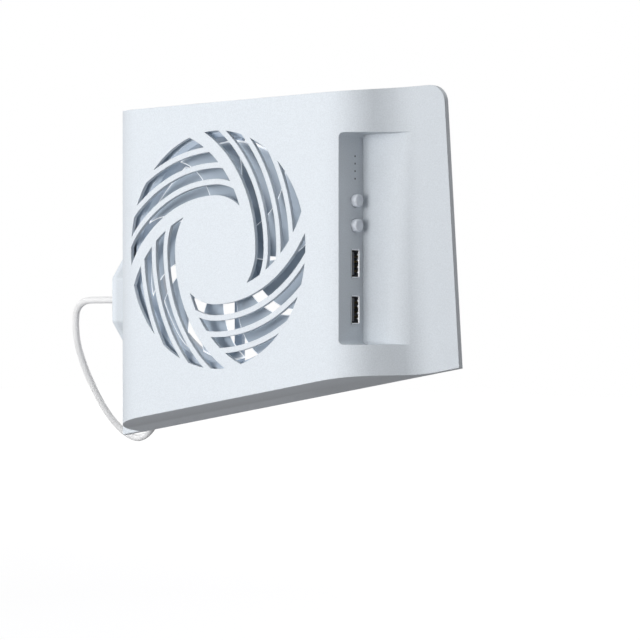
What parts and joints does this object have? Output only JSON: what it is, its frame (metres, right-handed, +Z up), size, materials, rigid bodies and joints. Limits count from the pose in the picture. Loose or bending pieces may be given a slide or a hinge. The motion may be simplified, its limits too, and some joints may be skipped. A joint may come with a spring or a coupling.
{
  "type": "console cooling fan",
  "caption": "Side-panel cooling fan for an upright game console: swirl grille, stepped flared shell, control recess with buttons and USB sockets, rear outlet collar and short USB supply cord.",
  "frame": {"origin": "on the fan axis, in the plane of the outlet collar's rim, which faces the console", "axes": "+Y along the fan axis, the way the air leaves into the console; +Z up as the panel stands; +X along the panel towards the flared wing"},
  "size_m": [0.2542, 0.0595, 0.1778],
  "materials": {
    "shell_plastic": "satin, fine grain",
    "cover_plastic": "satin",
    "frame_plastic": "satin",
    "rotor_plastic": "translucent, glossy",
    "steel": "bright",
    "dark_steel": "black oxide",
    "magnet": "matt ferrite",
    "bronze": "sintered",
    "copper": "enamelled wire",
    "board": "solder resist",
    "black_plastic": "matt",
    "nylon": "natural",
    "lamp": "clear resin",
    "clear_plastic": "smoked",
    "plated_steel": "nickel plated",
    "gold": "gold flash",
    "cord": "white, satin"
  },
  "bodies": {
    "housing": {"front_shell": "shell_plastic", "back_cover": "cover_plastic", "case_screws": "dark_steel", "fan_frame": "frame_plastic", "sleeve_bearing": "bronze", "stator_core": "steel", "stator_coils": "copper", "motor_board": "board", "bearing_cap": "black_plastic", "fan_screws": "dark_steel", "control_board": "board", "board_screws": "steel", "control_chip": "black_plastic", "switch_upper": "black_plastic", "switch_lower": "black_plastic", "status_leds": "lamp", "light_guide": "clear_plastic", "usb_shell_upper": "plated_steel", "usb_shell_lower": "plated_steel", "usb_tongue_upper": "black_plastic", "usb_tongue_lower": "black_plastic", "usb_contacts_upper": "gold", "usb_contacts_lower": "gold", "lead_sockets": "nylon", "fan_lead": "black_plastic", "supply_lead": "cord", "cord_gland": "cord", "supply_cord": "cord", "plug_body": "cord", "plug_shell": "plated_steel", "plug_insulator": "black_plastic", "plug_contacts": "gold"},
    "rotor": {"fan_rotor": "rotor_plastic", "rotor_yoke": "steel", "rotor_magnet": "magnet", "rotor_shaft": "steel", "shaft_clip": "nylon"},
    "upper_button": {"button_upper": "shell_plastic", "plunger_upper": "black_plastic"},
    "lower_button": {"button_lower": "shell_plastic", "plunger_lower": "black_plastic"}
  },
  "joints": [
    {"name": "fan_spin", "type": "hinge", "parent": "housing", "child": "rotor", "pos_m": [0, 0, 0], "axis": [0, 1, 0], "continuous": true},
    {"name": "upper_press", "type": "slide", "parent": "housing", "child": "upper_button", "axis": [-1, 0, 0], "range_m": [0, 0.0004], "stiffness_N_per_m": 1500},
    {"name": "lower_press", "type": "slide", "parent": "housing", "child": "lower_button", "axis": [-1, 0, 0], "range_m": [0, 0.0004], "stiffness_N_per_m": 1500}
  ]
}
